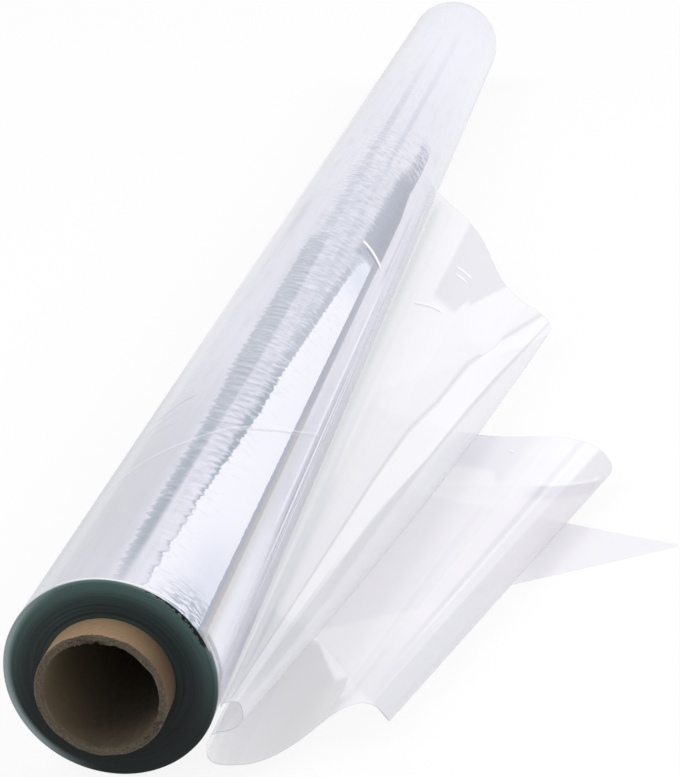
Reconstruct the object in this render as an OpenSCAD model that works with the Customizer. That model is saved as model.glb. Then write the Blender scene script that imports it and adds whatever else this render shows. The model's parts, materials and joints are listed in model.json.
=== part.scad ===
// A roll of clear vinyl sheeting on a paperboard core. It lies on the floor
// with its loose end folded back and forth beside it. The roll's axis runs
// along Y, and the origin is on the flat spot under the middle of the roll.

/* [Core] */
// Inside diameter of the paperboard core
core_bore_d = 50.8; // [38:0.1:77]
// Wall thickness of the core
core_wall = 3.5; // [2:0.1:8]
// How far the core stands out of each end of the wound film
core_proud = 15; // [4:0.5:40]
// Chamfer on the rims of the core
core_chamfer = 0.5; // [0.2:0.1:0.9]

/* [Wound film] */
// Width of the film, slit edge to slit edge
film_w = 1370; // [1100:10:1830]
// Depth of the wound film over the core
wound_h = 18.5; // [12:0.5:30]
// Clearance between the core and the first turn
wind_gap = 0.1; // [0.05:0.05:0.4]
// Number of turns that stand out as ridges on each end face
turn_ridges = 10; // [4:1:14]
// How far the ridges stand out along the roll
ridge_h = 0.6; // [0.2:0.1:1.2]
// Width of the flat spot that the roll lies on
flat_w = 10; // [5:0.5:20]

/* [Loose turn] */
// Thickness of the film in the loose turn and the folds
film_t = 0.3; // [0.2:0.05:0.5]
// Gap under the loose turn where it still hugs the roll
hug_gap = 0.5; // [0.4:0.05:1]
// Extra gap over the shoulder, at the slit edge
lift_near = 1.4; // [0:0.1:3]
// Extra gap over the shoulder, at the cut edge
lift_far = 0.4; // [0:0.1:3]
// How far the slit edge stands out of the end face
edge_proud = 1; // [0.7:0.1:3]
// Angle from the top at which the loose turn starts, to the left
root_angle = 30; // [20:1:40]
// Angle from the top at which the loose turn leaves the roll, to the right
leave_angle = 92; // [80:1:100]

/* [Cut edge over the roll] */
// Distance from the slit edge to the cut edge, where the loose turn starts
cut_root = 480; // [300:5:600]
// The same a little nearer to the top
cut_left = 585; // [400:5:700]
// The same on the top of the roll
cut_top = 647; // [450:5:800]
// The same where the loose turn leaves the roll
cut_leave = 800; // [500:5:900]

/* [Folds: out from the roll's side, in from the slit edge, up from the floor] */
// Foot of the loose turn, slit edge end
foot_near = [0.8, -1, 38]; // [-20:0.1:60]
// Foot of the loose turn, cut edge end
foot_far = [2.5, 822, 33]; // [-20:0.1:900]
// Inner part of the top panel, slit edge end
top_in_near = [2, -1, 40.5]; // [-20:0.1:60]
// Inner part of the top panel, cut edge end
top_in_far = [42, 742, 30]; // [-20:0.1:900]
// Outer part of the top panel, slit edge end
top_out_near = [4, -1, 41.5]; // [-20:0.1:60]
// Outer part of the top panel, cut edge end
top_out_far = [72, 606, 26]; // [-20:0.1:900]
// Upper side of the first fold, slit edge end
fold1_up_near = [10, -1, 42]; // [-20:0.1:60]
// Upper side of the first fold, cut edge end
fold1_up_far = [107, 566, 23]; // [-20:0.1:900]
// Lower side of the first fold, slit edge end
fold1_low_near = [11, -1, 29.5]; // [-20:0.1:60]
// Lower side of the first fold, cut edge end
fold1_low_far = [108, 568, 5]; // [-20:0.1:900]
// Upper side of the tuck against the roll, slit edge end
tuck_up_near = [-6, 0, 24]; // [-20:0.1:60]
// Upper side of the tuck against the roll, cut edge end
tuck_up_far = [3, 435, 13]; // [-20:0.1:900]
// Lower side of the tuck against the roll, slit edge end
tuck_low_near = [-6, 1, 7.5]; // [-20:0.1:60]
// Lower side of the tuck against the roll, cut edge end
tuck_low_far = [1, 430, 4]; // [-20:0.1:900]
// Middle of the third panel, slit edge end
third_near = [22, 8, 7.5]; // [-20:0.1:60]
// Middle of the third panel, cut edge end
third_far = [70, 390, 3]; // [-20:0.1:900]
// Upper side of the second fold, slit edge end
fold2_up_near = [55, 44, 27]; // [-20:0.1:80]
// Upper side of the second fold, cut edge end
fold2_up_far = [146, 348, 29]; // [-20:0.1:900]
// Lower side of the second fold, slit edge end
fold2_low_near = [73, 44, 3.6]; // [-20:0.1:80]
// Lower side of the second fold, cut edge end
fold2_low_far = [164, 332, 3.6]; // [-20:0.1:900]
// Upper side of the third fold, slit edge end
fold3_up_near = [14, 137, 4]; // [-20:0.1:200]
// Upper side of the third fold, cut edge end
fold3_up_far = [40, 312, 4]; // [-20:0.1:900]
// Lower side of the third fold, slit edge end
fold3_low_near = [14, 139, 0.15]; // [-20:0.05:200]
// Lower side of the third fold, cut edge end
fold3_low_far = [40, 311, 0.15]; // [-20:0.05:900]
// Tip of the cut end
tip = [195, 267, 0.15]; // [0:0.05:400]
// Width of the blunt tip
tip_w = 3; // [1:0.5:10]
// Sideways bow of the first fold's upper side, at the middle of its length
fold1_up_bow = 0; // [-15:1:10]
// Sideways bow of the first fold's lower side, at the middle of its length
fold1_low_bow = 9; // [-15:1:12]

/* [Hidden] */

core_r = core_bore_d / 2 + core_wall;
wound_r = core_r + wind_gap;
roll_r = wound_r + wound_h;
axis_z = sqrt(roll_r * roll_r - flat_w * flat_w / 4);
end_y = film_w / 2;
core_len = film_w + 2 * core_proud;
ridge_pitch = wound_h / turn_ridges;
// Film that the flat spot is cut from lies below this plane
floor_cut = 2 * roll_r;

// The sheet is built from rings along the roll and stations across it
rings = 14;
bend_steps = 5;
wrap_step = 8;

function lerp(a, b, t) = a + (b - a) * t;

// A bend line: its end at the slit edge, its end at the cut edge, how much
// of the panels beside it is rounded, and its sideways bow
function bend(near, far, round, bow = 0) = [near, far, round, bow];
bends = [
    bend(foot_near, foot_far, 0.35),
    bend(top_in_near, top_in_far, 0.5),
    bend(top_out_near, top_out_far, 0.5),
    bend(fold1_up_near, fold1_up_far, 0.5, fold1_up_bow),
    bend(fold1_low_near, fold1_low_far, 0.5, fold1_low_bow),
    bend(tuck_up_near, tuck_up_far, 0.4),
    bend(tuck_low_near, tuck_low_far, 0.4),
    bend(third_near, third_far, 0.5),
    bend(fold2_up_near, fold2_up_far, 0.5),
    bend(fold2_low_near, fold2_low_far, 0.45),
    bend(fold3_up_near, fold3_up_far, 0.05),
    bend(fold3_low_near, fold3_low_far, 0.05)
];

// The place in the part's frame of a point that is given from the roll
function from_roll(p) = [roll_r + p[0], p[1] - end_y, p[2]];
function on_bend(b, t) =
    from_roll(lerp(b[0], b[1], t) + [4 * b[3] * t * (1 - t), 0, 0]);

// The loose turn round the roll, by angle from the top
function cut_at(a) = lookup(a, [
    [-root_angle, cut_root],
    [5 - root_angle, cut_left],
    [0, cut_top],
    [leave_angle, cut_leave]
]);
function shoulder(a) = max(0, cos((a - 55) * 2));
function gap_at(a, t) = hug_gap + film_t / 2 + lerp(lift_near, lift_far, t) * shoulder(a);
function on_wrap(a, r, t) = [
    r * sin(a),
    lerp(-edge_proud, cut_at(a), t) - end_y,
    axis_z + r * cos(a)
];
wrap_angles = [for (a = [3 - root_angle : wrap_step : leave_angle]) a];
function wrap(t) = concat(
    [on_wrap(-root_angle, roll_r - 1, t)],
    [for (a = wrap_angles) on_wrap(a, roll_r + gap_at(a, t), t)]
);

// One rounded corner, from the panel before it to the panel after it
function corner(a, b, c, k) = [
    for (i = [0 : bend_steps])
        let (s = i / bend_steps)
        lerp(lerp(lerp(b, a, k), b, s), lerp(b, lerp(b, c, k), s), s)
];

// The whole sheet at one distance across: round the roll, through the
// bends and out to the tip
function section(t) =
    let (
        start = wrap(t),
        last = start[len(start) - 1],
        tip_at = from_roll(tip + [0, tip_w * (t - 0.5), 0]),
        line = concat([last], [for (b = bends) on_bend(b, t)], [tip_at])
    )
    concat(
        start,
        [for (i = [1 : len(bends)]) each corner(line[i - 1], line[i], line[i + 1], bends[i - 1][2])],
        [tip_at]
    );

// A closed sheet of even thickness from a grid of points on its middle
module sheet(grid, thick) {
    n = len(grid);
    m = len(grid[0]);
    function unit(v) = v / norm(v);
    function normal(i, j) = unit(cross(
        grid[i][min(j + 1, m - 1)] - grid[i][max(j - 1, 0)],
        grid[min(i + 1, n - 1)][j] - grid[max(i - 1, 0)][j]
    ));
    function face(side) = [
        for (i = [0 : n - 1], j = [0 : m - 1])
            grid[i][j] + normal(i, j) * side * thick / 2
    ];
    function at(i, j, s) = (s * n + i) * m + j;
    upper = [
        for (i = [0 : n - 2], j = [0 : m - 2])
            each [
                [at(i, j, 0), at(i + 1, j, 0), at(i + 1, j + 1, 0)],
                [at(i, j, 0), at(i + 1, j + 1, 0), at(i, j + 1, 0)]
            ]
    ];
    lower = [
        for (i = [0 : n - 2], j = [0 : m - 2])
            each [
                [at(i, j, 1), at(i + 1, j + 1, 1), at(i + 1, j, 1)],
                [at(i, j, 1), at(i, j + 1, 1), at(i + 1, j + 1, 1)]
            ]
    ];
    ends = [
        for (j = [0 : m - 2])
            each [
                [at(0, j, 0), at(0, j + 1, 0), at(0, j + 1, 1), at(0, j, 1)],
                [at(n - 1, j, 0), at(n - 1, j, 1), at(n - 1, j + 1, 1), at(n - 1, j + 1, 0)]
            ]
    ];
    sides = [
        for (i = [0 : n - 2])
            each [
                [at(i, 0, 0), at(i, 0, 1), at(i + 1, 0, 1), at(i + 1, 0, 0)],
                [at(i, m - 1, 0), at(i + 1, m - 1, 0), at(i + 1, m - 1, 1), at(i, m - 1, 1)]
            ]
    ];
    function split(quads) = [for (q = quads) each [[q[0], q[1], q[2]], [q[0], q[2], q[3]]]];
    polyhedron(concat(face(1), face(-1)), concat(upper, lower, split(ends), split(sides)));
}

// The roll's outline, from the bore out, with a ridge for each coarse turn
function ridges(sign) = [
    for (i = [0 : turn_ridges - 1])
        each [
            [wound_r + i * ridge_pitch, sign * (end_y - ridge_h)],
            [wound_r + (i + 0.5) * ridge_pitch, sign * end_y]
        ]
];
function reversed(list) = [for (i = [len(list) - 1 : -1 : 0]) list[i]];
roll_outline = concat(
    ridges(1),
    [[roll_r, end_y - ridge_h], [roll_r, ridge_h - end_y]],
    reversed(ridges(-1))
);

module along_axis() {
    translate([0, 0, axis_z]) rotate([-90, 0, 0]) children();
}

module core_tube() {
    r1 = core_bore_d / 2;
    h = core_len / 2;
    c = core_chamfer;
    color("peru") along_axis() rotate_extrude($fn = 96)
        polygon([
            [r1, c - h], [r1 + c, -h], [core_r - c, -h], [core_r, c - h],
            [core_r, h - c], [core_r - c, h], [r1 + c, h], [r1, h - c]
        ]);
}

module film() {
    color("lightcyan") union() {
        difference() {
            along_axis() rotate_extrude($fn = 120) polygon(roll_outline);
            translate([-roll_r, -film_w, -floor_cut]) cube([2 * roll_r, 2 * film_w, floor_cut]);
        }
        sheet([for (i = [0 : rings]) section(i / rings)], film_t);
    }
}

core_tube();
film();
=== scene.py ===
# %% [markdown]
# # A roll of clear vinyl sheeting
# Clear vinyl is sold by the roll. A long sheet, 1370 mm wide, is wound on a
# paperboard core, and the loose end is folded back and forth beside it. The
# scene has three pieces: the core, the wound film and the loose sheet.

# %% Load the frame
import json
import math

import bpy
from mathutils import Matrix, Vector, noise


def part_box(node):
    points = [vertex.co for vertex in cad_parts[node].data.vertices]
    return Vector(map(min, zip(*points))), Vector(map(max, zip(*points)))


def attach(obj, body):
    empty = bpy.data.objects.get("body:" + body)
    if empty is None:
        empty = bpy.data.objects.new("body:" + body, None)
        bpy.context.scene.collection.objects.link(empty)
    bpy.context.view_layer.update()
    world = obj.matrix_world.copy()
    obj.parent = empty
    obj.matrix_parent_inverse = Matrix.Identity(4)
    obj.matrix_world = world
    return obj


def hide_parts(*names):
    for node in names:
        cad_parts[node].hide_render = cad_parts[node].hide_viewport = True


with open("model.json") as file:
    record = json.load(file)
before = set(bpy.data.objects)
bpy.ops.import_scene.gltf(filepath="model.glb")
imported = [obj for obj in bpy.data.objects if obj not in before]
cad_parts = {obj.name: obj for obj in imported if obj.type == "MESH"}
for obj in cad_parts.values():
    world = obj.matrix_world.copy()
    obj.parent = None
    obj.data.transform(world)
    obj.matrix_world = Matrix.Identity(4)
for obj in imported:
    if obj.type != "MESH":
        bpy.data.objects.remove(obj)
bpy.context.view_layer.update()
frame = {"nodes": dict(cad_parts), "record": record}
mm = 0.001
print("nodes:", sorted(frame["nodes"]))

# %% [markdown]
# ## Measure the roll
# Nothing here is typed in twice. The roll's radius, the height of its axis
# and the place of its ends are read from the boxes of the two solids, and the
# bore from the mount that takes the dispenser bar. When the model changes,
# the pieces below change with it.

# %% Sizes from the frame
core_high = Vector(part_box("core_tube")[1])
film_low, film_high = (Vector(corner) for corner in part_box("film"))
mounts = {mount["name"]: mount for mount in frame["record"]["mounts"]}

core_r = core_high.x
core_end = core_high.y
bore_r = mounts["core_bore"]["dims"]["r_mm"] * mm
axis_z = mounts["core_bore"]["pos_m"][2]
roll_r = -film_low.x
end_y = film_high.y
winding_gap = 0.1 * mm
wound_r = core_r + winding_gap
print(f"roll {2 * roll_r / mm:.1f} mm across, {2 * end_y / mm:.0f} mm long")

# %% [markdown]
# ## The camera
# The roll is long and comes straight at the viewer, so its near end looks
# three times as large as the far one. A long lens, close to the floor and a
# little to the right of the roll, gives that view. The lens and the place
# were found by fitting the two end circles and the straight sides.

# %% Camera
camera_at = (0.2117, -1.3722, 0.4609)
camera_tilt = 68.5
camera_turn = 9.27
lens_mm = 88.55

camera_data = bpy.data.cameras.new("camera")
camera_data.lens = lens_mm
camera_data.sensor_width = 36
camera = bpy.data.objects.new("camera", camera_data)
camera.location = camera_at
camera.rotation_euler = (math.radians(camera_tilt), 0, math.radians(camera_turn))
bpy.context.collection.objects.link(camera)
bpy.context.scene.camera = camera
bpy.context.scene.view_settings.view_transform = "Standard"
print("camera", camera.location[:])

# %% [markdown]
# ## Colours as they are seen
# Colours are judged on a screen from 0 to 255, but the renderer adds light in
# linear numbers. This helper turns the first into the second, so that each
# colour below can be written as it should look.

# %% Colour helper
def screen(red, green, blue):
    """A linear colour from the 0 to 255 values that a screen shows."""
    def linear(value):
        share = value / 255
        return share / 12.92 if share <= 0.04045 else ((share + 0.055) / 1.055) ** 2.4
    return (linear(red), linear(green), linear(blue), 1.0)


print("mid grey is", [round(c, 3) for c in screen(128, 128, 128)[:3]])

# %% [markdown]
# ## A small kit for materials
# A material is a graph of nodes. Written out one by one, the nodes hide the
# idea, so this class gives each common step a short name: arithmetic, a soft
# step, a curve drawn through a few points, noise, grain that is stretched one
# way, and a mix of two colours. A value may be a number or the output of
# another step.

# %% Material graph helper
class Finish:
    """A material, with short names for the nodes that its finish is made of."""

    def __init__(self, name, roughness, coat=0.0):
        self.material = bpy.data.materials.new(name)
        self.material.use_nodes = True
        self.tree = self.material.node_tree
        self.shader = self.tree.nodes["Principled BSDF"]
        self.shader.inputs["Roughness"].default_value = roughness
        self.shader.inputs["Coat Weight"].default_value = coat

    def node(self, kind, **settings):
        made = self.tree.nodes.new("ShaderNode" + kind)
        for key, value in settings.items():
            setattr(made, key, value)
        return made

    def feed(self, value, socket):
        """Plugs an output into a socket, or writes a plain value on it."""
        if isinstance(value, bpy.types.NodeSocket):
            self.tree.links.new(value, socket)
        else:
            socket.default_value = value

    def math(self, operation, a, b=0.0, clamp=False):
        made = self.node("Math", operation=operation, use_clamp=clamp)
        self.feed(a, made.inputs[0])
        self.feed(b, made.inputs[1])
        return made.outputs[0]

    def plus(self, a, b):
        return self.math("ADD", a, b)

    def minus(self, a, b):
        return self.math("SUBTRACT", a, b)

    def times(self, a, b):
        return self.math("MULTIPLY", a, b)

    def divided(self, a, b):
        return self.math("DIVIDE", a, b)

    def step(self, value, low, high):
        """0 below low, 1 above high, and a soft rise between them."""
        made = self.node("MapRange", interpolation_type="SMOOTHSTEP")
        self.feed(value, made.inputs["Value"])
        self.feed(low, made.inputs["From Min"])
        self.feed(high, made.inputs["From Max"])
        return made.outputs["Result"]

    def curve(self, value, points):
        """Straight stretches through given points, as a function of value."""
        xs, ys = zip(*points)
        low_x, low_y = min(xs), min(ys)
        span_x = max(xs) - low_x
        span_y = max(max(ys) - low_y, 1e-6)
        made = self.node("FloatCurve")
        drawn = made.mapping.curves[0].points
        places = sorted(((x - low_x) / span_x, (y - low_y) / span_y) for x, y in points)
        for spare in places[2:]:
            drawn.new(*spare)
        for point, place in zip(drawn, places):
            point.location = place
            point.handle_type = "VECTOR"
        made.mapping.update()
        along = self.math("DIVIDE", self.minus(value, low_x), span_x, clamp=True)
        self.feed(along, made.inputs["Value"])
        return self.plus(self.times(made.outputs[0], span_y), low_y)

    def place(self, x, y, z=0.0):
        made = self.node("CombineXYZ")
        for value, socket in zip((x, y, z), made.inputs):
            self.feed(value, socket)
        return made.outputs[0]

    def noise(self, place, scale, detail=2.0):
        made = self.node("TexNoise")
        self.feed(place, made.inputs["Vector"])
        made.inputs["Scale"].default_value = scale
        made.inputs["Detail"].default_value = detail
        return made.outputs["Fac"]

    def grain(self, x, y, rates, scale, detail, z=0.0):
        """Noise that changes at its own rate along each of two directions."""
        place = self.place(self.times(x, rates[0]), self.times(y, rates[1]), z)
        return self.noise(place, scale, detail)

    def mix(self, share, under, over):
        made = self.node("Mix", data_type="RGBA")
        self.feed(share, made.inputs[0])
        self.feed(under, made.inputs[6])
        self.feed(over, made.inputs[7])
        return made.outputs[2]

    def bump(self, height, depth):
        """Bends the light as a relief of that depth in metres would."""
        made = self.node("Bump")
        made.inputs["Distance"].default_value = depth
        self.feed(height, made.inputs["Height"])
        self.feed(made.outputs[0], self.shader.inputs["Normal"])


print("finish kit ready")

# %% [markdown]
# ## Where a point is on the roll
# The wound film and the core share one way to say where a point is: its angle
# round the axis, counted from the top towards the loose sheet, its distance
# along the axis and its distance from it. All three follow from the object's
# own coordinates, so no texture map has to be unrolled.

# %% Roll coordinates
def roll_place(finish):
    """Angle in degrees, distance along in mm and radius in mm."""
    here = finish.node("TexCoord").outputs["Object"]
    parts = finish.node("SeparateXYZ")
    finish.feed(here, parts.inputs[0])
    x, y, z = parts.outputs
    up = finish.minus(z, axis_z)
    angle = finish.math("DEGREES", finish.math("ARCTAN2", x, up))
    square = finish.plus(finish.times(x, x), finish.times(up, up))
    radius = finish.divided(finish.math("SQRT", square), mm)
    return angle, finish.divided(y, mm), radius


def on_roll(angle, radius, y):
    """The point at an angle from the top, in degrees."""
    turn = math.radians(angle)
    return Vector((radius * math.sin(turn), y, axis_z + radius * math.cos(turn)))


print("top of the roll:", on_roll(0, roll_r, 0)[:])

# %% [markdown]
# ## Grids of points
# The core, the wound film and the sheet are all grids: rows of points, joined
# by four-sided faces. One function builds them all. A grid may close on
# itself, as the rings of a tube do, and a rule can give each face a material.

# %% Grid helper
def grid_piece(name, rows, materials, closed=False, paint=None):
    """A smooth mesh from rows of points, with one column for each point."""
    across = len(rows[0])
    points = [tuple(point) for row in rows for point in row]
    last = across if closed else across - 1
    faces, kinds = [], []
    for i in range(len(rows) - 1):
        for j in range(last):
            k = (j + 1) % across
            faces.append((i * across + j, i * across + k, (i + 1) * across + k, (i + 1) * across + j))
            kinds.append(paint(i, j) if paint else 0)
    mesh = bpy.data.meshes.new(name)
    mesh.from_pydata(points, [], faces)
    mesh.polygons.foreach_set("material_index", kinds)
    mesh.polygons.foreach_set("use_smooth", [True] * len(faces))
    for material in materials:
        mesh.materials.append(material)
    mesh.update()
    piece = bpy.data.objects.new(name, mesh)
    bpy.context.collection.objects.link(piece)
    print(f"{name}: {len(points)} points, {len(faces)} faces")
    return piece


# %% [markdown]
# ## Finish: kraft board
# The core is a spiral of brown kraft paper. Its colour drifts a little from
# fibre to fibre, and a darker seam runs round it where one strip of paper
# meets the next. Noise stretched along the strip gives the fibres, and a
# sawtooth of angle and length gives the seam. From the top round to the
# right side, painted shade darkens the board.

# %% Kraft board outside
kraft = Finish("kraft board", roughness=0.78)
angle, along, _ = roll_place(kraft)
strip_mm = 95.0
strips = kraft.plus(kraft.divided(along, strip_mm), kraft.divided(angle, 360.0))
fibres = kraft.grain(angle, along, (0.2, 1), 0.9, 5)
flecks = kraft.noise(kraft.place(angle, along), 1.7, 3)
board = kraft.mix(fibres, screen(132, 106, 78), screen(168, 140, 108))
board = kraft.mix(kraft.step(flecks, 0.60, 0.72), board, screen(112, 88, 62))
# painted shade: the board darkens from the top round to the right side
painted_shade_right_side = kraft.times(kraft.step(angle, -5.0, 75.0), 0.85)
board = kraft.mix(painted_shade_right_side, board, screen(66, 46, 27))
seam = kraft.math("ABSOLUTE", kraft.minus(kraft.math("FRACT", strips), 0.5))
board = kraft.mix(kraft.step(seam, 0.008, 0.0), board, screen(88, 68, 48))
kraft.feed(board, kraft.shader.inputs["Base Color"])
kraft.bump(fibres, 0.15 * mm)
print("kraft board, seam every", strip_mm, "mm")

# %% [markdown]
# ## Finish: torn board and the bore
# The saw leaves the end of the core rough, grey and a little fluffy, with the
# plies of paper showing as rings. Inside, the board is darker and dusty, and
# its left wall is painted lighter, for the light that falls on it. Both are the
# same paper, so they use the same kit with other colours and scales.

# %% Torn board and bore
torn = Finish("torn board", roughness=0.95)
angle, along, radius = roll_place(torn)
plies = torn.grain(angle, radius, (0.08, 3), 1.1, 4)
fluff = torn.grain(angle, radius, (1, 4), 0.55, 6, z=along)
edge = torn.mix(plies, screen(62, 54, 44), screen(104, 94, 79))
edge = torn.mix(torn.step(fluff, 0.58, 0.76), edge, screen(150, 138, 118))
edge = torn.mix(torn.step(fluff, 0.42, 0.30), edge, screen(56, 49, 40))
torn.feed(edge, torn.shader.inputs["Base Color"])
torn.bump(fluff, 0.6 * mm)

bore = Finish("dusty bore", roughness=0.9)
angle, along, _ = roll_place(bore)
dust = bore.grain(angle, along, (0.3, 0.4), 0.5, 5)
inside = bore.mix(dust, screen(65, 56, 45), screen(102, 90, 73))
# painted light on the left wall of the bore
painted_light_left_wall = bore.times(bore.step(angle, -20.0, -90.0), bore.step(angle, -175.0, -120.0))
inside = bore.mix(bore.times(painted_light_left_wall, 0.8), inside, screen(122, 108, 84))
bore.feed(inside, bore.shader.inputs["Base Color"])
bore.bump(dust, 0.4 * mm)
print("torn board and bore ready")

# %% [markdown]
# ## The core
# A lathe would give a perfect tube, but the real end is torn. The tube is a
# closed grid instead: rings run in through the bore, across the end and back
# along the outside. Where a ring lies on the end, noise pushes its points in
# and out by about a millimetre, most at the top and at the lower right, where
# the board is frayed.

# %% Core shape
core_columns = 240
fray_mm = 1.25
frayed_top = -0.15
frayed_low_right = 2.1
edge_round = 0.5 * mm
bore_wander = 0.25 * mm
wall_shares = (0.0, 0.06, 0.15, 0.27, 0.4, 0.52, 0.64, 0.76, 0.87, 0.95, 1.0)


def frayed(angle, share, side):
    """How far the torn end stands out, by angle and by share of the wall."""
    turn = math.radians(angle)
    spot = Vector((math.cos(turn) * 3.1, math.sin(turn) * 3.1, share * 1.4 + side * 5))
    coarse = noise.noise(spot)
    fine = noise.noise(spot * 5.3)
    top = max(0.0, math.cos(turn - frayed_top)) ** 12
    low_right = max(0.0, math.cos(turn - frayed_low_right)) ** 12
    flap = (1.6 * top * share + 1.2 * low_right * share) * (0.6 + fine)
    return (0.7 * coarse + 0.5 * fine * (0.6 + top + low_right) + flap) * fray_mm * mm


def core_rings(side):
    """Rings from the outside of the wall to the bore, at one end."""
    wall = core_r - bore_r
    rings = []
    for share in wall_shares:
        round_off = edge_round * (2 * share - 1) ** 6
        ring = []
        for column in range(core_columns):
            angle = 360 * column / core_columns
            wander = bore_wander * noise.noise(Vector((angle * 0.09, share * 3, side * 4)))
            radius = core_r - wall * share - wander * (share > 0.5)
            out = core_end - round_off - edge_round + frayed(angle, share, side)
            ring.append(on_roll(angle, radius, side * out))
        rings.append(ring)
    return rings


def core_side(radius, places):
    """Plain rings along the outside or the bore."""
    return [[on_roll(360 * c / core_columns, radius, y) for c in range(core_columns)] for y in places]


length_shares = (0.995, 0.98, 0.9, 0.6, 0.2, -0.2, -0.6, -0.9, -0.98, -0.995)
near_end = core_rings(-1)
far_end = core_rings(1)
outside = core_side(core_r, [core_end * s for s in length_shares])
inside_rings = core_side(bore_r, [-core_end * s for s in length_shares])
core_rows = outside + near_end + inside_rings + far_end[::-1] + outside[:1]
first_near = len(outside)
first_bore = first_near + len(near_end)
first_far = first_bore + len(inside_rings)


def core_paint(row, column):
    """0 for the outside, 1 for a torn end, 2 for the bore."""
    if row < first_near - 1 or row >= first_far + len(far_end) - 1:
        return 0
    if first_near <= row < first_bore - 1 or first_far <= row:
        return 1
    return 2 if first_bore - 1 <= row < first_far else 0


core = grid_piece(
    "core", core_rows, [kraft.material, torn.material, bore.material], closed=True, paint=core_paint
)
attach(core, "root")
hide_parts("core_tube")

# %% [markdown]
# ## Marks on the film
# Wound clear film looks silvery. Tight turns lie flat and pale, looser ones
# leave grey bands that run along the roll, and where the film has slipped a
# band's side is frayed into a comb of fine teeth. The bands stand partly for
# this and partly for painted reflections of large soft lamps, light and dark.
# Each band is one entry in a list: its two sides, its two ends, how soft and
# how slowly they fade, its colour and strength, and how long the teeth are. A
# side that slants is given as a few points.

# %% Band helper
def band(finish, across, along, sides, ends, soft, fade, comb=0.0, teeth=None):
    """1 on a band and 0 off it. Sides are measured across, ends along."""
    soft_left, soft_right = soft if isinstance(soft, tuple) else (soft, soft)
    fade_near, fade_far = fade if isinstance(fade, tuple) else (fade, fade)
    left, right = (
        finish.curve(along, side) if isinstance(side, list) else side for side in sides
    )
    here = across
    if comb:
        here = finish.plus(across, finish.times(teeth, comb))
    from_left = finish.minus(here, left)
    from_right = finish.minus(right, across)
    inside = finish.times(
        finish.step(from_left, -soft_left, soft_left),
        finish.step(from_right, -soft_right, soft_right),
    )
    lengthways = finish.times(
        finish.step(along, ends[0] - fade_near, ends[0] + fade_near),
        finish.step(along, ends[1] + fade_far, ends[1] - fade_far),
    )
    return finish.times(inside, lengthways)


print("band helper ready")

# %% [markdown]
# ## Finish: wound film
# The ground is pale, with long streaks and clouds. The combs come from ripples
# 7.7 mm apart, as measured along the roll, and from a finer fray. Four more
# grains, all stretched round the roll or along it, are kept for the bands:
# scuffs, silky threads, crumples and mottling. A thin clear coat gives the
# gloss.

# %% Wound film
ripple_mm = 7.7
outer = Finish("wound film", roughness=0.26, coat=0.1)
outer.shader.inputs["Coat Roughness"].default_value = 0.12
angle, along, _ = roll_place(outer)
slow = outer.grain(angle, along, (1, 0.16), 0.05, 2)
turns = outer.times(along, 2 * math.pi / ripple_mm)
wave = outer.math("SINE", outer.plus(turns, outer.times(slow, 9.0)))
uneven = outer.grain(angle, along, (0.6, 1), 0.2, 3)
ripples = outer.times(wave, outer.step(uneven, 0.3, 0.7))
fray = outer.grain(angle, along, (0.12, 1), 0.24, 5)
fray = outer.times(outer.minus(fray, 0.5), 5.0)
teeth = outer.plus(outer.times(ripples, 0.45), fray)
scuff = outer.step(fray, 0.9, -0.7)
silk = outer.grain(angle, along, (0.4, 1), 0.34, 3, z=7.0)
crumple = outer.grain(angle, along, (0.25, 1), 0.7, 4, z=3.0)
mottle = outer.grain(angle, along, (1, 0.35), 0.12, 5)

streaks = outer.grain(angle, along, (1, 0.012), 0.30, 4)
ground = outer.mix(streaks, screen(211, 210, 220), screen(227, 226, 238))
cloud = outer.grain(angle, along, (0.6, 0.12), 0.2, 6)
cloud_share = outer.times(outer.step(cloud, 0.48, 0.72), 0.35)
ground = outer.mix(cloud_share, ground, screen(192, 193, 204))
print("ground of the wound film, ripples every", ripple_mm, "mm")

# %% [markdown]
# ## Bands of the wound film
# The bands are painted over the ground one after the other, roughly as they
# are met going round the roll. Sides are degrees from the top, ends are
# millimetres from the middle of the roll. Some bands aren't even: the start of
# their name chooses a pattern that breaks them up, such as silk for thin
# threads or ladder for rungs.

# %% Bands
pale_edge = [
    (-690, 20.5), (-640, 22.0), (-600, 23.5), (-560, 25.5), (-520, 28.3), (-480, 30.5), (-420, 31.5),
    (-360, 34.8), (-300, 38.0), (-240, 41.5), (-200, 45.5), (-185, 50.0),
]
shade_edge = [
    (-690, 19.5), (-600, 22.0), (-560, 23.0), (-520, 23.2), (-480, 24.0), (-420, 25.5),
    (-360, 28.8), (-300, 32.5), (-240, 36.0), (-185, 41.0),
]
main_left = [
    (-690, 3.5), (-600, 2.2), (-520, 2.6), (-470, 1.5), (-425, -1.2), (-300, -1.0), (-190, -1.6),
    (-165, 4.0), (700, 6.8),
]
main_right = [
    (-690, 8.8), (-600, 9.6), (-520, 11.5), (-420, 13.4), (-300, 13.6), (-165, 12.4), (700, 11.6),
]
patch_left = [(-185, 37.0), (-150, 38.5), (-60, 39.8), (0, 41.5), (60, 47.0), (110, 48.0), (150, 44.0)]
patch_right = [(-150, 61.8), (-60, 61.8), (0, 58.5), (60, 60.5), (110, 60.5), (150, 57.0)]
top_left = [(-560, 2), (-330, -3), (-200, -4), (100, 6)]
darkest_left = [(-690, 19.6), (-560, 23.4), (-480, 25.5), (-400, 30)]
pale_silk_left = [(-660, 12), (-300, 12), (-190, -2), (120, -2)]
dark_silk_left = [(-600, 13), (-300, 13), (-190, -3), (140, -3)]
zone_silk_right = [(-690, 30), (-480, 40), (-300, 52), (-190, 54)]
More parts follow.
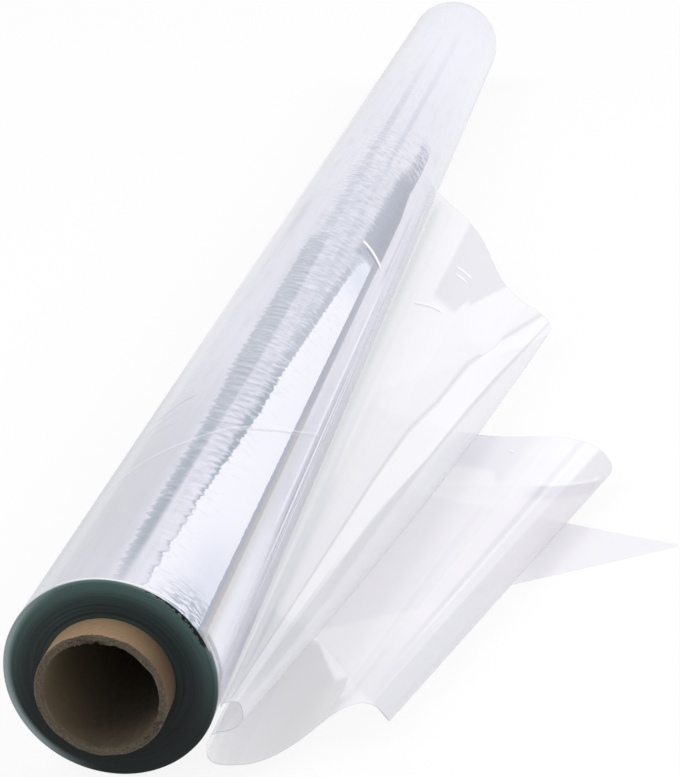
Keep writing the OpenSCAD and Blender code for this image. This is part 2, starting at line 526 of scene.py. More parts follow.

# most bands are partly the winding and partly painted reflections of lamps; the bright band at the far
# left and the pale zone are painted reflections
# left side, right side, ends, softness, fade, colour, strength, comb
film_bands = [
    ("bright band at the far left", -67, -46, (-220, 720), 6, (260, 30), (252, 252, 254), 0.95, 0),
    ("shade at the near left", -80, 1, (-720, -470), 6, 90, (190, 193, 198), 0.7, 0),
    ("soft grey streak, far left", -42.5, -36.5, (300, 640), 3, 60, (196, 195, 206), 0.6, 0.5),
    ("dark streak, near left", -50, -43, (-700, -400), 3, 60, (180, 182, 188), 0.7, 0.5),
    ("second dark streak, near left", -70.5, -66, (-660, -370), 2, 50, (186, 187, 195), 0.8, 0.5),
    ("pale streak, near left", -60.5, -56, (-570, -250), 1.5, 50, (236, 236, 242), 0.7, 0.5),
    ("pale streak left of the top", -38, -30, (-690, -100), 4, 90, (226, 226, 234), 0.35, 0.5),
    ("wrinkle", -28, -21, (-170, -90), 4, 45, (186, 189, 200), 0.75, 2.5),
    ("scuffed top", top_left, 50, (-560, 60), 4, 80, (196, 199, 212), 0.45, 0),
    ("mottled top", top_left, 50, (-330, 120), 4, 60, (192, 197, 210), 0.6, 0),
    ("main band, far part", main_left, main_right, (-170, 420), (1.6, 2.2), (10, 280),
     (186, 190, 203), 0.9, 0.6),
    ("main band, near part", main_left, main_right, (-675, -185), (1.2, 1.6), (40, 22),
     (158, 166, 178), 1.0, 2.6),
    ("dark heart of the main band", 4.5, 9.5, (-670, -500), 2.4, 40, (146, 158, 168), 0.8, 0.8),
    ("grey water beside it", 13.5, 24, (-260, -60), (1, 3), 50, (200, 203, 216), 0.7, 2.5),
    ("grey band up from the dark one", 24.5, 30.5, (-420, -110), 1.2, (40, 30),
     (186, 193, 205), 0.85, 1.2),
    ("second band", 25, [(-60, 28), (300, 31), (700, 32)], (-130, 520), (2.2, 1.3), (40, 50),
     (192, 196, 211), 0.85, 0.8),
    ("ladder of pale rungs", 13, 23, (-570, -430), 2.5, 30, (170, 178, 190), 0.6, 0),
    ("faint rungs", 2, 24, (-430, -150), 3, 30, (190, 194, 206), 0.4, 0),
    ("grey water before the patch", 30, 40, (-330, -140), 4, 60, (196, 200, 214), 0.6, 1.5),
    ("blue-grey patch", patch_left, patch_right, (-186, 128), (3.5, 1.0), (3, 22),
     (150, 157, 174), 0.97, 1.6),
    ("dark side of the patch", 50, patch_right, (-160, 80), (7, 1.0), (6, 20),
     (131, 138, 156), 0.9, 0.6),
    ("zebra at the far end of the patch", 41, 61, (30, 175), 3, 30, (222, 222, 235), 0.65, 0),
    ("dark side of the pale zone", shade_edge, pale_edge, (-680, -190), (1.6, 0.6), (30, 5),
     (166, 173, 187), 0.9, 2.4),
    ("darkest part beside it", darkest_left, pale_edge, (-590, -420), (1.4, 0.5), (40, 30),
     (134, 148, 160), 0.8, 1.6),
    ("silk, pale threads", pale_silk_left, 42, (-660, 120), 4, 60, (232, 234, 246), 0.42, 0),
    ("silk, dark threads", dark_silk_left, 62, (-600, 140), 4, 60, (160, 168, 182), 0.36, 0),
    ("silk, pale threads on the main band", -2, 14, (-640, -190), 4, 60, (222, 225, 236), 0.25, 0),
    # painted reflection of a lamp
    ("pale zone", pale_edge, 55.7, (-720, -190), (0.3, 0.3), 4, (239, 239, 247), 1.0, 1.5),
    ("silk on the pale zone", pale_edge, zone_silk_right, (-700, -195), (0.3, 8), 8,
     (220, 225, 238), 0.5, 1.5),
    ("blue far end of the pale zone", 42, 55.5, (-250, -190), (3, 0.4), 30, (212, 219, 236), 0.8, 1),
    ("shade on the pale zone", 36, 56, (-720, -615), (14, 0.5), 34, (212, 216, 231), 0.7, 0),
    ("crumple at the near end", 33, 57, (-720, -668), (14, 2), 17, (128, 140, 158), 0.95, 2),
    ("sharp band", 55.7, 61.4, (-720, -175), (0.35, 0.9), 5, (153, 157, 173), 0.97, 0.3),
    ("dark line in it", 55.7, 58.2, (-420, -175), (0.3, 0.8), (60, 5), (148, 151, 168), 0.8, 0.3),
    ("brown right side of it", 58.6, 61.6, (-720, -430), (0.8, 0.6), 14, (178, 174, 170), 0.8, 0.3),
    ("beige shade", 61.5, 67, (-720, -440), (0.5, 3), 16, (205, 203, 203), 0.85, 0.4),
    ("soft shade beside it", 64, 71, (-620, -360), 2, 50, (207, 209, 219), 0.7, 0.5),
    ("pale side of the loose turn", 66, 86, (-720, -560), 4, 50, (246, 247, 252), 0.5, 0.5),
    ("pale right side, far part", 80, 93, (-330, 60), 3, 60, (240, 240, 249), 0.6, 0.5),
    ("short grey line", 70.8, 73.2, (-170, -20), 0.9, 20, (190, 191, 203), 0.9, 0.6),
    ("pale line", 73.6, 76.2, (-560, -190), 0.6, 40, (241, 242, 250), 0.9, 0.4),
    ("thin dark line", 77, 78.6, (-520, -210), 0.6, 30, (202, 204, 216), 0.8, 0.5),
    ("second thin dark line", 80, 82.2, (-550, -200), 0.7, 30, (196, 198, 211), 0.8, 0.6),
    ("pale line on the right", 83, 85.4, (-600, -100), 0.7, 50, (236, 236, 246), 0.7, 0.4),
    ("third dark line", 85.8, 88.6, (-560, 70), 0.9, 50, (202, 205, 218), 0.8, 0.6),
    ("pale far end", -32, 96, (300, 740), (12, 4), 200, (236, 235, 246), 0.6, 0),
    ("low right band", 118, 127, (-640, 600), 2, 70, (198, 200, 212), 0.7, 1.0),
    ("low right line", 143, 146, (-500, 300), 0.8, 60, (186, 188, 202), 0.6, 0.6),
    ("left pale line", -90, -80, (-600, 400), 2, 60, (240, 240, 248), 0.7, 1.0),
    ("left band", -104, -95, (-650, 640), 2, 70, (194, 197, 206), 0.7, 1.0),
    ("low left band", -146, -135, (-420, 660), 2, 60, (196, 198, 212), 0.7, 1.0),
]

# how a band's name starts, and the pattern that breaks it up
rungs = outer.step(ripples, -0.3, 0.6)
scuffs = outer.plus(outer.times(scuff, 0.5), 0.5)
patterns = [
    ("silk, pale", outer.step(silk, 0.52, 0.64)),
    ("silk", outer.step(silk, 0.48, 0.36)),
    ("zebra", outer.step(silk, 0.44, 0.56)),
    (("ladder", "faint"), rungs),
    (("scuffed", "main"), scuffs),
    ("crumple", outer.step(crumple, 0.42, 0.56)),
    ("mottled", outer.step(mottle, 0.48, 0.66)),
]
colour = ground
for name, left, right, ends, soft, fade, tone, strength, comb in film_bands:
    share = band(outer, angle, along, (left, right), ends, soft, fade, comb, teeth)
    pattern = next((drawn for start, drawn in patterns if name.startswith(start)), None)
    if pattern is not None:
        share = outer.times(share, pattern)
    colour = outer.mix(outer.times(share, strength), colour, screen(*tone))
print(len(film_bands), "bands on the wound film")

# %% [markdown]
# ## Edges and creases across the roll
# Nine lines cross the bands: a painted shadow for the black gap under the
# loose turn and painted shade on its green rim, a painted highlight and painted
# shade on the two sides of an inner turn's edge and of a pucker, and three
# creases drawn as painted shade. They run round the roll, so the same helper
# draws them with its two directions swapped. A shallow relief of the ripples
# and the streaks then breaks up the gloss.

# %% Lines round the roll
# the line as angle and place along, half its width, its ends, colour, strength
cross_lines = [
    # painted shadow in the gap under the loose turn, and painted shade on the green rim beside it
    ("black gap under the loose turn", [(-180, -697), (180, -697)], 8.5, (24, 67), (10, 14, 14), 1.0),
    ("green rim under the loose turn", [(-180, -692), (180, -692)], 8.5, (68, 130),
     (96, 112, 108), 0.9),
    # painted highlight and painted shade on the two sides of an inner turn's edge and of a pucker
    ("inner edge, lit",
     [(-47, -584), (0, -535), (20, -508), (38, -489), (60, -460), (72, -439), (97, -403)],
     1.0, (-50, 100), (238, 239, 247), 0.45),
    ("inner edge, dark",
     [(-47, -588), (0, -539), (20, -512), (38, -493), (60, -464), (72, -443), (97, -407)],
     1.2, (-50, 100), (190, 193, 203), 0.45),
    ("pucker, lit side", [(38, -159), (50, -162), (64, -166)], 2.2, (39, 63), (255, 255, 255), 1.0),
    ("pucker, dark side", [(38, -164), (50, -168), (64, -172)], 1.6, (44, 63), (112, 116, 132), 0.8),
    # painted shade along three creases
    ("crease on the left", [(-38, -500), (-20, -478), (-10, -470)], 1.2, (-34, -14),
     (168, 172, 182), 0.8),
    ("crease below it", [(-38, -512), (-20, -494), (-10, -486)], 1.0, (-38, -20), (176, 180, 188), 0.7),
    ("third crease", [(-38, -524), (-20, -512), (-10, -506)], 0.9, (-30, -16), (180, 184, 190), 0.6),
]
for name, middle, wide, ends, tone, strength in cross_lines:
    sides = ([(a, y - wide) for a, y in middle], [(a, y + wide) for a, y in middle])
    share = band(outer, along, angle, sides, ends, 0.6, 2, 0.5, fray)
    colour = outer.mix(outer.times(share, strength), colour, screen(*tone))
outer.feed(colour, outer.shader.inputs["Base Color"])
relief = outer.plus(outer.times(ripples, 0.35), streaks)
outer.bump(relief, 0.12 * mm)
print(len(cross_lines), "lines round the roll")

# %% [markdown]
# ## Finish: stacked edges
# Seen end on, light has to pass through the whole width of the sheet, and
# clear vinyl turns deep green. Each turn is a thin ring, a little lighter or
# darker than the next, drawn by grain that changes fast with the radius and
# slowly with the angle. The outer turns are painted lighter, for the light
# that reaches them, and a painted highlight lies on the rim at the left. At the
# upper right a ragged painted shadow marks the black gap under the loose turn,
# and painted shade darkens the lower half.

# %% Stacked edges
stacked = Finish("stacked film edges", roughness=0.5)
stacked.shader.inputs["Specular IOR Level"].default_value = 0.2
angle, _, radius = roll_place(stacked)
wound_depth = (roll_r - wound_r) / mm
depth = stacked.divided(stacked.minus(radius, wound_r / mm), wound_depth)
rings = stacked.grain(angle, radius, (0.012, 2.2), 1.0, 5)
ragged = stacked.grain(angle, radius, (0.5, 0.6), 0.8, 3)
height = stacked.times(radius, stacked.math("COSINE", stacked.math("RADIANS", angle)))

# the outer turns are painted lighter, for the light that reaches them
# where the tone starts and is full, as a share of the wound depth
edge_tones = [
    (0.14, 0.02, (52, 66, 62)),
    (0.40, 0.90, (69, 92, 89)),
    (0.88, 1.00, (114, 142, 138)),
]
stack = screen(36, 47, 47)
for start, full, tone in edge_tones:
    stack = stacked.mix(stacked.step(depth, start, full), stack, screen(*tone))
light_rings = stacked.times(stacked.step(rings, 0.5, 0.75), 0.18)
dark_rings = stacked.times(stacked.step(rings, 0.5, 0.25), 0.3)
stack = stacked.mix(light_rings, stack, screen(80, 110, 104))
stack = stacked.mix(dark_rings, stack, screen(18, 28, 28))
low_shade = stacked.times(stacked.step(height, 34.0, -30.0), 0.93)
stack = stacked.mix(low_shade, stack, screen(6, 12, 12))
# painted highlight on the outer rim at the left
painted_highlight_left_rim = band(stacked, angle, radius, (-150, -45), (44.6, 60), 25, 1.6)
stack = stacked.mix(painted_highlight_left_rim, stack, screen(138, 154, 154))
# painted shadow: a ragged dark crescent under the loose turn at the upper right
gap_shadow_wide = stacked.plus(
    stacked.times(stacked.step(ragged, 0.35, 0.65), 1.3),
    stacked.times(stacked.step(angle, 34.0, 58.0), 0.9),
)
gap_shadow_outer_mm = 47.0
gap_shadow_from = stacked.minus(gap_shadow_outer_mm, gap_shadow_wide)
painted_gap_shadow = stacked.times(
    band(stacked, angle, radius, (22, 66), (0, 60), 2, 0.1),
    stacked.step(stacked.minus(radius, gap_shadow_from), -0.1, 0.1),
)
stack = stacked.mix(painted_gap_shadow, stack, screen(12, 16, 16))
stacked.feed(stack, stacked.shader.inputs["Base Color"])
stacked.bump(rings, 0.1 * mm)
print("stacked edges ready")

# %% [markdown]
# ## The wound film
# The outside is a fine grid, close enough in rows to carry the 7.7 mm ripples
# as real shape on the near half. Each end is a fan of rings that rise and
# fall by a fraction of a millimetre, turn by turn. The lowest turns are
# pressed flat on the floor, so no point may lie below zero.

# %% Wound film shape
roll_columns = 144
ripple_depth = 0.05 * mm
sag_depth = 0.22 * mm
front_angle = 25
ripples_until = 0.1
fine_pitch = 2.0 * mm
coarse_pitch = 6.0 * mm
rim = 0.6 * mm


def roll_point(angle, y):
    """A point on the outside, with its ripples, slack and flat spot."""
    turn = math.radians(angle)
    slack = noise.noise(Vector((math.cos(turn) * 2.2, math.sin(turn) * 2.2, y * 3.5)))
    wave = math.sin(2 * math.pi * y / (ripple_mm * mm) + 4 * slack)
    on_front = max(0.0, math.cos(turn - math.radians(front_angle))) ** 3
    rise = sag_depth * slack + ripple_depth * wave * on_front
    point = on_roll(angle, roll_r - sag_depth + rise, y)
    point.z = max(point.z, 0.0)
    return point


def stops(start, end, pitch):
    """Even places from start to just before end."""
    count = max(1, round(abs(end - start) / pitch))
    return [start + (end - start) * i / count for i in range(count)]


fine_y = stops(rim - end_y, ripples_until, fine_pitch)
coarse_y = stops(ripples_until, end_y - rim, coarse_pitch) + [end_y - rim]
angles = [360 * c / roll_columns - 180 for c in range(roll_columns)]
outer_rows = [[roll_point(a, y) for a in angles] for y in fine_y + coarse_y]

turns_shown = 20
turn_ridge = 0.05
end_rough = 0.3
end_relief = 0.6
end_inset = 0.25 * mm
rim_inset = 0.35 * mm


def end_rings(side):
    """Rings from the bore out to the rim, with a ridge for each turn."""
    rings_out = []
    for step in range(2 * turns_shown + 1):
        share = step / (2 * turns_shown)
        radius = wound_r + (roll_r - rim_inset - wound_r) * share
        ring = []
        for a in angles:
            turn = math.radians(a)
            spot = Vector((math.cos(turn) * 1.3, math.sin(turn) * 1.3, share * 14 + side))
            high = (turn_ridge if step % 2 else -turn_ridge) + end_rough * noise.noise(spot)
            y = side * (end_y - end_inset + high * mm * end_relief)
            point = on_roll(a, radius, y)
            point.z = max(point.z, 0.0)
            ring.append(point)
        rings_out.append(ring)
    return rings_out


near_rings = end_rings(-1)
far_rings = end_rings(1)
roll_rows = near_rings + outer_rows + far_rings[::-1]


def roll_paint(row, column):
    """0 for the outside and 1 for an end face."""
    return 0 if len(near_rings) - 1 <= row < len(near_rings) + len(outer_rows) else 1


wound = grid_piece(
    "wound_film", roll_rows, [outer.material, stacked.material], closed=True, paint=roll_paint
)
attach(wound, "root")

# %% [markdown]
# ## The loose sheet
# The last turn has come loose and its end is folded like a fan. Every fold is
# a line from the slit edge, near the viewer, to the cut edge, so the sheet is
# drawn line by line: round the shoulder of the roll, down to the floor and
# through twelve bends to the tip. The points are millimetres out from the
# side of the roll, in from the slit edge and up from the floor.

# %% Bend lines
edge_proud = 1.0
root_angle = 30
leave_angle = 92
# angle from the top, and how far in from the slit edge the cut edge lies
cut_line = [(-30, 480), (-25, 585), (0, 647), (92, 800)]

# near end, far end, how much of the way to the next bend is rounded, bow
bends = [
    ((0.8, -1, 38), (2.5, 822, 33), 0.35, 0),
    ((2, -1, 40.5), (42, 742, 30), 0.5, 0),
    ((4, -1, 41.5), (72, 606, 26), 0.5, 0),
    ((10, -1, 42), (107, 566, 23), 0.5, 0),
    ((11, -1, 29.5), (108, 568, 5), 0.5, 9),
    ((-6, 0, 24), (3, 435, 13), 0.4, 0),
    ((-6, 1, 7.5), (1, 430, 4), 0.4, 0),
    ((22, 8, 7.5), (70, 390, 3), 0.5, 0),
    ((55, 44, 27), (146, 348, 29), 0.5, 0),
    ((73, 44, 3.6), (164, 332, 3.6), 0.45, 0),
    ((14, 137, 4), (40, 312, 4), 0.05, 0),
    ((14, 139, 0.15), (40, 311, 0.15), 0.05, 0),
]
tip = Vector((195, 267, 0.15))
tip_wide = 3
print(len(bends), "bends")

# %% [markdown]
# ## From lines to a surface
# Each bend is rounded by a quadratic curve between the panels beside it, as a
# springy sheet rounds its own folds. Two numbers are kept with every point:
# its station, which counts the bends passed so far, and its share of the way
# from the slit edge to the cut edge. The finish uses them to place creases.

# %% Sheet shape
sheet_rows = 64
bend_steps = 8
wrap_step = 3
panel_steps = 3
tip_steps = 6
rest_lift = 0.65
shoulder_lift = 1.4
shoulder_angle = 55
tuck_angle = 3
tuck_mm = 1.0


def between(table, value):
    """A straight line through the points of a table."""
    for (x0, y0), (x1, y1) in zip(table, table[1:]):
        if value <= x1:
            return y0 + (y1 - y0) * max(0.0, value - x0) / (x1 - x0)
    return table[-1][1]


def from_roll(point):
    """A point given in mm from the roll's side, the slit edge and the floor."""
    return Vector((roll_r + point[0] * mm, point[1] * mm - end_y, point[2] * mm))


def wrap_part(share):
    """The loose turn: pairs of station and point."""
    points = []
    angle = -root_angle
    while angle <= leave_angle:
        shoulder = max(0.0, math.cos(math.radians(2 * (angle - shoulder_angle))))
        lift = rest_lift + (shoulder_lift - share) * shoulder
        tuck = min(1.0, (angle + root_angle) / tuck_angle)
        y = -edge_proud + (between(cut_line, angle) + edge_proud) * share
        radius = roll_r + (lift * tuck - tuck_mm * (1 - tuck)) * mm
        station = (angle + root_angle) / (leave_angle + root_angle)
        points.append((station, on_roll(angle, radius, y * mm - end_y)))
        angle += wrap_step
    return points


def corner(before, at, after, rounded, number):
    """One rounded bend: pairs of station and point."""
    start = at.lerp(before, rounded)
    end = at.lerp(after, rounded)
    points = []
    for step in range(bend_steps + 1):
        s = step / bend_steps
        place = start.lerp(at, s).lerp(at.lerp(end, s), s)
        station = number + (s - 0.5) * rounded if number > 1 else 1 + 0.5 * s * rounded
        points.append((station, place))
    return points


def section(share):
    """The whole sheet at one share of the way across."""
    line = wrap_part(share)
    marks = [line[-1][1]]
    for near, far, rounded, bow in bends:
        place = Vector(near).lerp(Vector(far), share)
        place.x += 4 * bow * share * (1 - share)
        marks.append(from_roll(place))
    marks.append(from_roll(tip + Vector((0, tip_wide * (share - 0.5), 0))))
    for number in range(1, len(bends) + 1):
        turn = corner(marks[number - 1], marks[number], marks[number + 1], bends[number - 1][2], number)
        before_station, before_point = line[-1]
        if number > 1 and bends[number - 2][2] + bends[number - 1][2] >= 1:
            line.pop()
        else:
            for step in range(1, panel_steps):
                s = step / panel_steps
                station = before_station + (turn[0][0] - before_station) * s
                line.append((station, before_point.lerp(turn[0][1], s)))
        line += turn
    before_station, before_point = line[-1]
    for step in range(1, tip_steps + 1):
        s = step / tip_steps
        station = before_station + (len(bends) + 1 - before_station) * s
        line.append((station, before_point.lerp(marks[-1], s)))
    return line


shares = [0.0, 0.0015] + [i / sheet_rows for i in range(1, sheet_rows)] + [0.9985, 1.0]
sections = [section(share) for share in shares]
print(len(sections), "rows of", len(sections[0]), "points")

# %% [markdown]
# ## Finish: clear film
# One layer of clear film hardly shows: it takes a little light away and adds
# a faint lilac haze. Bends get a painted highlight along their crown and painted
# shade beside it. All this is placed by the station and the share that every
# point carries. The curves below say at which station a shade starts or ends,
# from the slit edge to the cut edge.

# %% Clear film
clear = Finish("clear film", roughness=0.12)
station_node = clear.node("Attribute", attribute_name="station")
share_node = clear.node("Attribute", attribute_name="share")
station = station_node.outputs["Fac"]
share = share_node.outputs["Fac"]
haze = clear.grain(station, share, (3, 1.2), 1.4, 3)
lines = clear.grain(station, share, (40, 1.5), 1.0, 4)
tint = clear.mix(haze, screen(239, 238, 246), screen(245, 244, 251))
body = clear.plus(clear.times(haze, 0.06), 0.48)

crown_left = [
    (0.0, 3.02), (0.25, 2.98), (0.4, 2.97), (0.52, 3.0), (0.62, 3.1), (0.75, 3.14), (0.79, 3.2),
    (0.83, 3.7), (0.88, 3.8), (1.0, 3.97),
]
crown_right = [
    (0.0, 3.85), (0.05, 3.8), (0.2, 3.78), (0.35, 3.8), (0.5, 3.9), (0.65, 3.92), (0.78, 3.97),
    (1.0, 4.1),
]
dark_right = [
    (0.0, 4.1), (0.05, 4.1), (0.2, 4.05), (0.35, 3.96), (0.5, 3.94), (0.65, 3.97), (0.78, 4.02),
    (1.0, 4.13),
]
valley_left = [(0.0, 0.96), (0.3, 0.96), (0.5, 0.99), (0.7, 0.98), (1.0, 0.95)]
valley_right = [
    (0.0, 3.0), (0.05, 2.7), (0.1, 2.15), (0.2, 1.93), (0.3, 1.8), (0.38, 1.3), (0.5, 1.1), (0.7, 1.06),
    (1.0, 1.0),
]
under_right = [(0.3, 7.6), (0.5, 7.6), (0.8, 7.85), (1.0, 7.95)]
foot_top = [(6.6, 0.33), (7.47, 0.31), (7.84, 0.28), (8.1, 0.16), (8.7, 0.09), (8.97, 0.0)]
corner_low = [(1.87, 0.75), (2.0, 0.76), (2.8, 0.85), (3.0, 1.0)]
lavender_low = [(7.9, 0.88), (8.1, 0.86), (8.7, 0.79), (8.9, 0.79)]
far_corner_low = [(9.12, 0.83), (9.3, 0.917), (10.0, 0.928)]


def shifted(line, by):
    return [(place, value + by) for place, value in line]


print("curves of the clear film ready")

# %% [markdown]
# ## Marks of the clear film
# Each mark has a colour and an opacity. The layers that lie hidden under a
# fold are nearly clear, or they would show through it. The cut edges are thin
# grey lines. Where a mark's sides change with the station instead, the two
# directions are swapped: two corners, a foot and a few scratches, each with a
# lit side and a dim one.

# %% Clear film marks
# station sides, share ends, softness, fade, colour, opacity
first_marks = [
    ("over the roll", (-1, 0.92), (-1, 2), 0.04, 0.01, (240, 239, 247), 0.08),
    ("green rim seen through", (0.72, 1.06), (-1, 0.006), 0.04, 0.002, (120, 134, 131), 0.6),
    ("pale valley", (valley_left, shifted(valley_right, 0.1)), (-1, 2), (0.05, 0.25), 0.01,
     (226, 226, 236), 0.55),
    ("valley beside the roll", (valley_left, valley_right), (-1, 0.36), (0.04, 0.16), (0.01, 0.1),
     (222, 224, 231), 0.56),
    # painted light: the third panel is painted paler and clearer where the first fold shades it
    ("pale third panel", (7.7, 8.84), (0.1, 0.78), 0.08, (0.05, 0.05), (248, 243, 255), 0.34),
]
film_marks = [
    # painted shade on the side of the first fold and in lines beside its crown, and a painted highlight
    # on the crown
    ("side of the first fold", (dark_right, 5.2), (-1, 2), (0.03, 0.1), 0.01, (235, 234, 241), 0.54),
    ("shade before the crown", (shifted(crown_left, -0.3), crown_left), (-1, 2), (0.15, 0.02), 0.01,
     (236, 235, 243), 0.55),
    ("line before the crown", (shifted(crown_left, -0.05), crown_left), (-1, 2), 0.03, 0.01,
     (203, 202, 210), 0.6),
    ("crown of the first fold", (crown_left, crown_right), (-1, 0.86), 0.03, (0.01, 0.08),
     (247, 247, 252), 0.6),
    ("smudge on the crown", (3.4, crown_right), (0.1, 0.24), (0.2, 0.03), 0.06, (226, 226, 232), 0.6),
    ("dark line on the first fold", (crown_right, dark_right), (0.0, 0.45), 0.04, 0.08,
     (206, 206, 213), 0.72),
    ("thin line on the first fold", (crown_right, dark_right), (0.4, 2), 0.015, 0.04,
     (208, 207, 217), 0.66),
    ("edge of the first fold", (4.88, 5.12), (-1, 2), 0.06, 0.01, (243, 242, 248), 0.34),
    ("hidden behind the first fold", (5.12, 6.55), (-1, 2), (0.06, 0.08), 0.01, (240, 239, 246), 0.12),
    ("third panel under the top one", (6.5, under_right), (0.33, 2), (0.12, 0.06), 0.03,
     (240, 239, 246), 0.15),
    ("before the second fold", (8.84, 9.0), (-1, 2), 0.02, 0.01, (246, 243, 250), 0.6),
    ("line before the second fold", (8.98, 9.02), (-1, 2), 0.015, 0.01, (230, 228, 238), 0.56),
    # painted highlight on the crown of the second fold, and painted shade on its side
    ("crown of the second fold", (9.02, 9.12), (-1, 2), 0.012, 0.01, (243, 241, 249), 0.58),
    ("thin white line on it", (9.025, 9.05), (-1, 2), 0.01, 0.01, (248, 247, 252), 0.62),
    ("near part of both", (8.84, 9.12), (-1, 0.2), 0.02, 0.1, (231, 230, 236), 0.6),
    ("side of the second fold", (9.13, 10.2), (-1, 2), 0.012, 0.01, (232, 229, 235), 0.55),
    ("low part of that side", (9.13, 10.2), (-1, 0.45), 0.012, 0.12, (226, 225, 233), 0.55),
    ("hidden behind the second fold", (10.2, 12.52), (-1, 2), 0.06, 0.01, (240, 239, 246), 0.12),
    ("front curl", (5.7, 6.7), (-1, 0.05), 0.3, 0.03, (232, 231, 240), 0.3),
    ("tip", (12.54, 14), (-1, 2), 0.04, 0.01, (236, 233, 242), 0.6),
    ("slit edge over the roll", (-1, 0.62), (-1, 0.0016), 0.04, 0.0006, (240, 243, 244), 0.95),
    ("slit edge", (0.8, 14), (-1, 0.0012), 0.1, 0.0008, (165, 167, 176), 0.7),
    ("cut edge", (-1, 14), (0.9988, 2), 0.1, 0.0008, (208, 207, 217), 0.6),
]

# share sides as they change from station to station, station ends, then as above
corner_marks = [
    ("far corner of the second fold", (far_corner_low, 2), (9.13, 10.2), 0.018, 0.02,
     (222, 220, 226), 0.86),
]
patch_marks = [
    ("grey foot", (-1, foot_top), (6.7, 9.1), 0.008, 0.1, (226, 226, 228), 0.65),
    ("grey corner of the top panel", (corner_low, 2), (1.88, 3.0), 0.012, 0.03, (216, 214, 226), 0.68),
    ("lavender corner of the third panel", (lavender_low, 2), (7.8, 8.78), 0.012, 0.03,
     (229, 227, 239), 0.58),
]
scratches = [
    ("long scratch", [(1.45, 0.70), (1.75, 0.705), (2.1, 0.755)], (1.55, 2.06)),
    ("upper scratch", [(1.95, 0.865), (2.2, 0.898)], (1.98, 2.16)),
    ("lower scratch", [(1.95, 0.845), (2.2, 0.878)], (2.02, 2.14)),
    ("scratch on the third panel", [(8.2, 0.94), (8.6, 0.925)], (8.25, 8.5)),
]
scratch_wide = 0.0022
for name, middle, ends in scratches:
    lit = (shifted(middle, -scratch_wide), shifted(middle, scratch_wide))
    dim = (shifted(middle, -3 * scratch_wide), shifted(middle, -scratch_wide))
    patch_marks.append((name + ", dim side", dim, ends, 0.001, 0.03, (205, 204, 216), 0.7))
    patch_marks.append((name, lit, ends, 0.001, 0.03, (255, 255, 255), 0.95))
print(len(first_marks + film_marks + patch_marks + corner_marks), "marks on the clear film")

# %% [markdown]
# ## Paint the clear film
# The marks are laid in the order in which they cover each other. Where the
# sheet leaves the roll, and on the sides that face it, the film is matt, so
# that it mirrors no bright streak. Beside the roll it is pulled into fine dark
# and pale streaks.

# %% Clear film painted
def paint_film(on, tint, body, tone, opacity):
    """Lays a mark of one colour and opacity over what is there."""
    denser = clear.times(clear.minus(opacity, body), on)
    return clear.mix(on, tint, screen(*tone)), clear.plus(body, denser)


def lay(marks, across, along, tint, body):
    """Lays a list of marks over what is there."""
    for name, sides, ends, soft, fade, tone, opacity in marks:
        on = band(clear, across, along, sides, ends, soft, fade)
        tint, body = paint_film(on, tint, body, tone, opacity)
    return tint, body


tint, body = lay(first_marks, station, share, tint, body)
tint, body = lay(patch_marks, share, station, tint, body)
tint, body = lay(film_marks, station, share, tint, body)
tint, body = lay(corner_marks, share, station, tint, body)

leaving = band(clear, station, share, (0.99, 1.09), (0.02, 0.97), (0.015, 0.05), 0.04)
tint, body = paint_film(leaving, tint, body, (188, 191, 200), 0.5)
turned_away = band(clear, station, share, (4.7, 5.7), (-1, 2), 0.12, 0.01)
faces_roll = band(clear, station, share, (7.4, 8.7), (-1, 2), 0.2, 0.01)
matt = clear.math("MAXIMUM", leaving, clear.math("MAXIMUM", turned_away, faces_roll))
shine = clear.minus(0.45, clear.times(matt, 0.43))  # 0.02 where it is matt
clear.feed(shine, clear.shader.inputs["Specular IOR Level"])
beside_roll = band(clear, station, share, (0.86, 0.97), (0.02, 0.97), (0.04, 0.03), 0.04)
dark_streaks = clear.times(beside_roll, clear.step(lines, 0.46, 0.36))
pale_streaks = clear.times(beside_roll, clear.step(lines, 0.56, 0.66))
tint, body = paint_film(dark_streaks, tint, body, (220, 222, 230), 0.48)
tint, body = paint_film(pale_streaks, tint, body, (253, 253, 255), 0.75)
clear.feed(tint, clear.shader.inputs["Base Color"])
clear.feed(body, clear.shader.inputs["Alpha"])
print("clear film painted")

# %% [markdown]
# ## Build the sheet
# The sheet is one surface without thickness: real film is 0.3 mm thick, too
# thin to see, and a second surface would only double its haze. Laid flat, it
# is as long as its slit edge and as wide as its longest row, and the slanting
# cut takes away about half of that rectangle.

# %% Loose sheet
over_floor = 0.12 * mm
sheet_points = [[point for _, point in row] for row in sections]
for row in sheet_points:
    for point in row:
        point.z = max(point.z, over_floor)
loose = grid_piece("loose_sheet", sheet_points, [clear.material])
for name, values in (
    ("station", [place for row in sections for place, _ in row]),
    ("share", [share for share, row in zip(shares, sections) for _ in row]),
):
    loose.data.attributes.new(name, "FLOAT", "POINT").data.foreach_set("value", values)


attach(loose, "root")
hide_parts("film")

# %% [markdown]
# ## Floor
# A pale floor catches the object's shadow. The photograph's ground is pure
# white, so most of what the camera sees of the floor is plain white, and the
# rest is a real surface that the shadow falls on. The light path tells which
# rays the camera sees, so no light is added to the object.

# %% Floor
floor_wide = 40.0
floor_drop = 0.4 * mm
white_share = 0.86

floor_mesh = bpy.data.meshes.new("floor")
half = floor_wide / 2
corners = [(x * half, y * half, -floor_drop) for x, y in ((-1, -1), (1, -1), (1, 1), (-1, 1))]
floor_mesh.from_pydata(corners, [], [(0, 1, 2, 3)])
floor = bpy.data.objects.new("floor", floor_mesh)
bpy.context.collection.objects.link(floor)


def seen_directly(tree):
    """1 for rays from the camera, mirror rays and rays through clear pieces."""
    rays = tree.nodes.new("ShaderNodeLightPath")
    total = rays.outputs["Is Camera Ray"]
    for name in ("Is Glossy Ray", "Is Transmission Ray"):
        more = tree.nodes.new("ShaderNodeMath")
        more.operation = "MAXIMUM"
        tree.links.new(total, more.inputs[0])
        tree.links.new(rays.outputs[name], more.inputs[1])
        total = more.outputs[0]
    return total


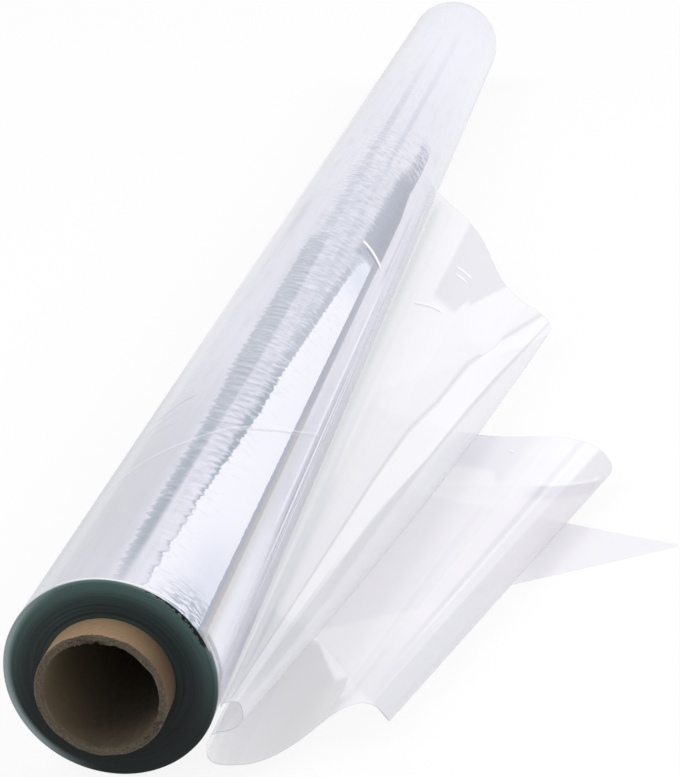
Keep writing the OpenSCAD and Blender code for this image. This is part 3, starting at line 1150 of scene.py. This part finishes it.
def show(tree, share, lit, seen, target):
    """Mixes the shader that lights the scene with the one that is seen."""
    blend = tree.nodes.new("ShaderNodeMixShader")
    for output, socket in zip((share, lit.outputs[0], seen.outputs[0]), blend.inputs):
        tree.links.new(output, socket)
    tree.links.new(blend.outputs[0], target)


floor_paint = bpy.data.materials.new("pale floor")
floor_paint.use_nodes = True
tree = floor_paint.node_tree
tree.nodes.clear()
diffuse = tree.nodes.new("ShaderNodeBsdfDiffuse")
diffuse.inputs["Color"].default_value = (0.93, 0.93, 0.93, 1)
white = tree.nodes.new("ShaderNodeEmission")
share_of_white = tree.nodes.new("ShaderNodeMath")
share_of_white.operation = "MULTIPLY"
share_of_white.inputs[1].default_value = white_share
output = tree.nodes.new("ShaderNodeOutputMaterial")
tree.links.new(seen_directly(tree), share_of_white.inputs[0])
show(tree, share_of_white.outputs[0], diffuse, white, output.inputs["Surface"])
floor_mesh.materials.append(floor_paint)
print("floor laid")

# %% [markdown]
# ## Light
# Product pictures like this one are lit from large soft sources, so nothing
# has a hard shadow. An even pale surround gives most of the light. One broad
# lamp above and to the left models the roll, and a weaker one fills the right.

# %% Surround and lamps
surround_light = 0.66
world = bpy.data.worlds.new("surround")
bpy.context.scene.world = world
world.use_nodes = True
tree = world.node_tree
background = tree.nodes["Background"]
background.inputs["Color"].default_value = (0.98, 0.985, 1.0, 1)
background.inputs["Strength"].default_value = surround_light
white_world = tree.nodes.new("ShaderNodeBackground")
white_world.inputs["Strength"].default_value = 1.0
white_world.inputs["Color"].default_value = (1, 1, 1, 1)
world_output = tree.nodes["World Output"].inputs["Surface"]
show(tree, seen_directly(tree), background, white_world, world_output)


def lamp(name, place, aim, size, power):
    """A square soft lamp that looks at a point."""
    data = bpy.data.lights.new(name, "AREA")
    data.size = size
    data.energy = power
    made = bpy.data.objects.new(name, data)
    made.location = place
    made.rotation_euler = (Vector(aim) - Vector(place)).to_track_quat("-Z", "Y").to_euler()
    bpy.context.collection.objects.link(made)
    print(name, power, "W")


lamp("key lamp", (-2.2, -1.4, 3.2), (0, 0, 0), 2.2, 44)
lamp("fill lamp", (2.8, 0.2, 2.4), (0.1, 0, 0), 2.4, 52)
